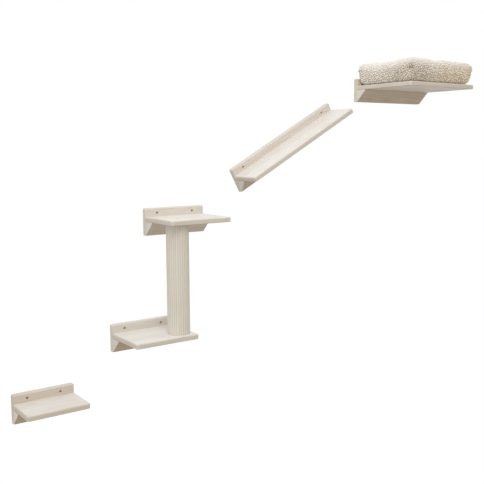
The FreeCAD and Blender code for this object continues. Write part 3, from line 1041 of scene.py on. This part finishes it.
def strip_pair(kind, body, node, z, upward, line, radius, seed, spread):
    """Two hook or loop strips: woven tapes, their hooks or loops and the seams that hold them."""
    tape = woven_material(kind + "_strip_tape", TAPE, TAPE_SHADE, 0.55 * MM, 0.25)
    back = strip_back(kind + "_strip_tapes", z if upward else z - TAPE_T, tape)
    face = z + TAPE_T * (0.9 if upward else -0.9)
    spots, chance = strip_spots(face, seed)
    points = np.array(line) * MM
    if not upward:
        points[:, 2] *= -1
    turns = chance.normal(0, spread, len(spots)) + math.pi * chance.integers(0, 2, len(spots))
    tufts = many(kind + "_strip_" + kind + "s", tube_along(points, radius), spots, turns, NYLON,
                 sizes=chance.uniform(0.85, 1.0, len(spots)))
    for side, middle_y in zip(("front", "back"), strip_middles()):
        outline = rounded_outline(STRIP_HALF_L - SEAM_IN, STRIP_W / 2 - SEAM_IN, 1.0 * MM, steps=2)
        outline += np.array((STRIP_MIDDLE_X, middle_y))
        stitches(kind + "_strip_" + side + "_seam", outline, face, not upward, body)
    for piece in (back, tufts):
        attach(piece, body)
    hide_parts(node)


def nylon_material():
    """Milky nylon filament."""
    made, net, shader, position = material("nylon_filament")
    milk = net.noise(position, 1500.0)
    colour = net.mix(milk, TAPE, NYLON_MILK)
    surface(net, shader, colour, net.weighed(0.3, (milk, 0.2)), milk, 0.05 * MM)
    return made


# Middle lines of one hook and one loop, in millimetres from its foot.
HOOK_LINE = [(0, 0, 0), (0, 0, 0.34), (0.08, 0, 0.58), (0.28, 0, 0.72), (0.48, 0, 0.60), (0.52, 0, 0.44)]
LOOP_LINE = [(-0.45, 0, 0), (-0.62, 0.1, 0.35), (-0.35, 0.25, 0.66), (0.1, 0.1, 0.74), (0.5, -0.2, 0.58),
             (0.55, -0.1, 0.25), (0.35, 0, 0)]


def under_bed():
    """Base cloth with its loop strips, and the hook strips on the shelf."""
    base_cloth()
    hooks_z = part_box("bed_shelf_hook_strips")[0].z
    strip_pair("loop", "bed", "bed_loop_strips", STRIPS[1].z, False, LOOP_LINE, 0.11 * MM, 21, 1.6)
    strip_pair("hook", "root", "bed_shelf_hook_strips", hooks_z, True, HOOK_LINE, 0.12 * MM, 22, 0.25)


# --- stage and light ---

FLOOR_Z = -0.62
FLOOR_HALF = 40.0


def seen_directly(net):
    """1 for what the camera, gloss and glass see, 0 for the light that falls on the object."""
    path = net.add("ShaderNodeLightPath").outputs
    seen = net.math("MAXIMUM", path["Is Camera Ray"], path["Is Glossy Ray"])
    return net.math("MAXIMUM", seen, path["Is Transmission Ray"])


def make_floor():
    """Pale floor below the object: near white to the eye, keeping a trace of the object's shadow."""
    corners = [(x * FLOOR_HALF, y * FLOOR_HALF, FLOOR_Z) for x, y in ((-1, -1), (1, -1), (1, 1), (-1, 1))]
    made = bpy.data.materials.new("pale_floor")
    made.use_nodes = True
    net, nodes = Net(made.node_tree), made.node_tree.nodes
    nodes.remove(nodes["Principled BSDF"])
    matte = net.add("ShaderNodeBsdfDiffuse", {"Color": (0.62, 0.58, 0.51, 1.0)})
    pale = net.add("ShaderNodeBsdfDiffuse", {"Color": (0.9, 0.9, 0.9, 1.0)})
    white = net.add("ShaderNodeEmission", {"Strength": 1.04})
    shown = net.add("ShaderNodeMixShader", {0: 0.9, 1: pale.outputs[0], 2: white.outputs[0]})
    seen = seen_directly(net)
    both = net.add("ShaderNodeMixShader", {0: seen, 1: matte.outputs[0], 2: shown.outputs[0]})
    net.feed(nodes["Material Output"].inputs[0], both.outputs[0])
    mesh_object("floor", corners, [(0, 1, 2, 3)], made, smooth=False)


def make_world():
    """Even light all round, on a white background."""
    world = bpy.data.worlds.new("studio")
    bpy.context.scene.world = world
    world.use_nodes = True
    net = Net(world.node_tree)
    background = world.node_tree.nodes["Background"].inputs
    seen = seen_directly(net)
    net.feed(background["Color"], net.mix(seen, (0.695, 0.685, 0.675, 1.0), (1.0, 1.0, 1.0, 1.0)))
    background["Strength"].default_value = 1.0


def make_soft_box(name, place, aim, side, power, colour):
    """Square lamp aimed at a point."""
    lamp = bpy.data.lights.new(name, "AREA")
    lamp.shape = "SQUARE"
    lamp.size = side
    lamp.energy = power
    lamp.color = colour
    made = bpy.data.objects.new(name, lamp)
    made.location = place
    made.rotation_mode = "QUATERNION"
    made.rotation_quaternion = (Vector(aim) - Vector(place)).to_track_quat("-Z", "Y")
    made.visible_camera = False
    bpy.context.scene.collection.objects.link(made)


def make_camera():
    """Camera where the photograph was taken from."""
    yaw, pitch, roll = (math.radians(a) for a in (CAMERA_YAW, CAMERA_PITCH, CAMERA_ROLL))
    forward = Vector((math.sin(yaw) * math.cos(pitch), math.cos(yaw) * math.cos(pitch), math.sin(pitch)))
    right = Vector((math.cos(yaw), -math.sin(yaw), 0.0))
    up = right.cross(forward)
    across = right * math.cos(roll) + up * math.sin(roll)
    upward = up * math.cos(roll) - right * math.sin(roll)
    data = bpy.data.cameras.new("camera")
    data.sensor_width = 36.0
    data.lens = CAMERA_LENS
    data.clip_start, data.clip_end = 0.05, 100.0
    made = bpy.data.objects.new("camera", data)
    facing = Matrix((across, upward, -forward)).transposed().to_4x4()
    made.matrix_world = Matrix.Translation(CAMERA_PLACE) @ facing
    bpy.context.scene.collection.objects.link(made)
    bpy.context.scene.camera = made


make_camera()
PLYWOOD = plywood_material()
dress_wood()
dress("post_end_discs", PLYWOOD)
dress("post_core_tube", card_material())
ZINC_STEEL = zinc_material()
dress("post_bolts", ZINC_STEEL)
dress("post_inserts", ZINC_STEEL)
sisal_cover()
plush_bed()
THREAD_COTTON = thread_material()
NYLON = nylon_material()
under_bed()
make_floor()
make_world()
make_soft_box("soft_box_above", (-0.20, -1.45, 2.97), (0.9, -0.15, 0.5), 1.6, 39.0, (1.0, 1.0, 1.0))
make_soft_box("soft_box_left", (-1.90, -0.90, 0.85), (0.6, -0.15, 0.5), 0.8, 4.2, (0.85, 0.94, 1.0))
bpy.context.scene.view_settings.view_transform = "Standard"
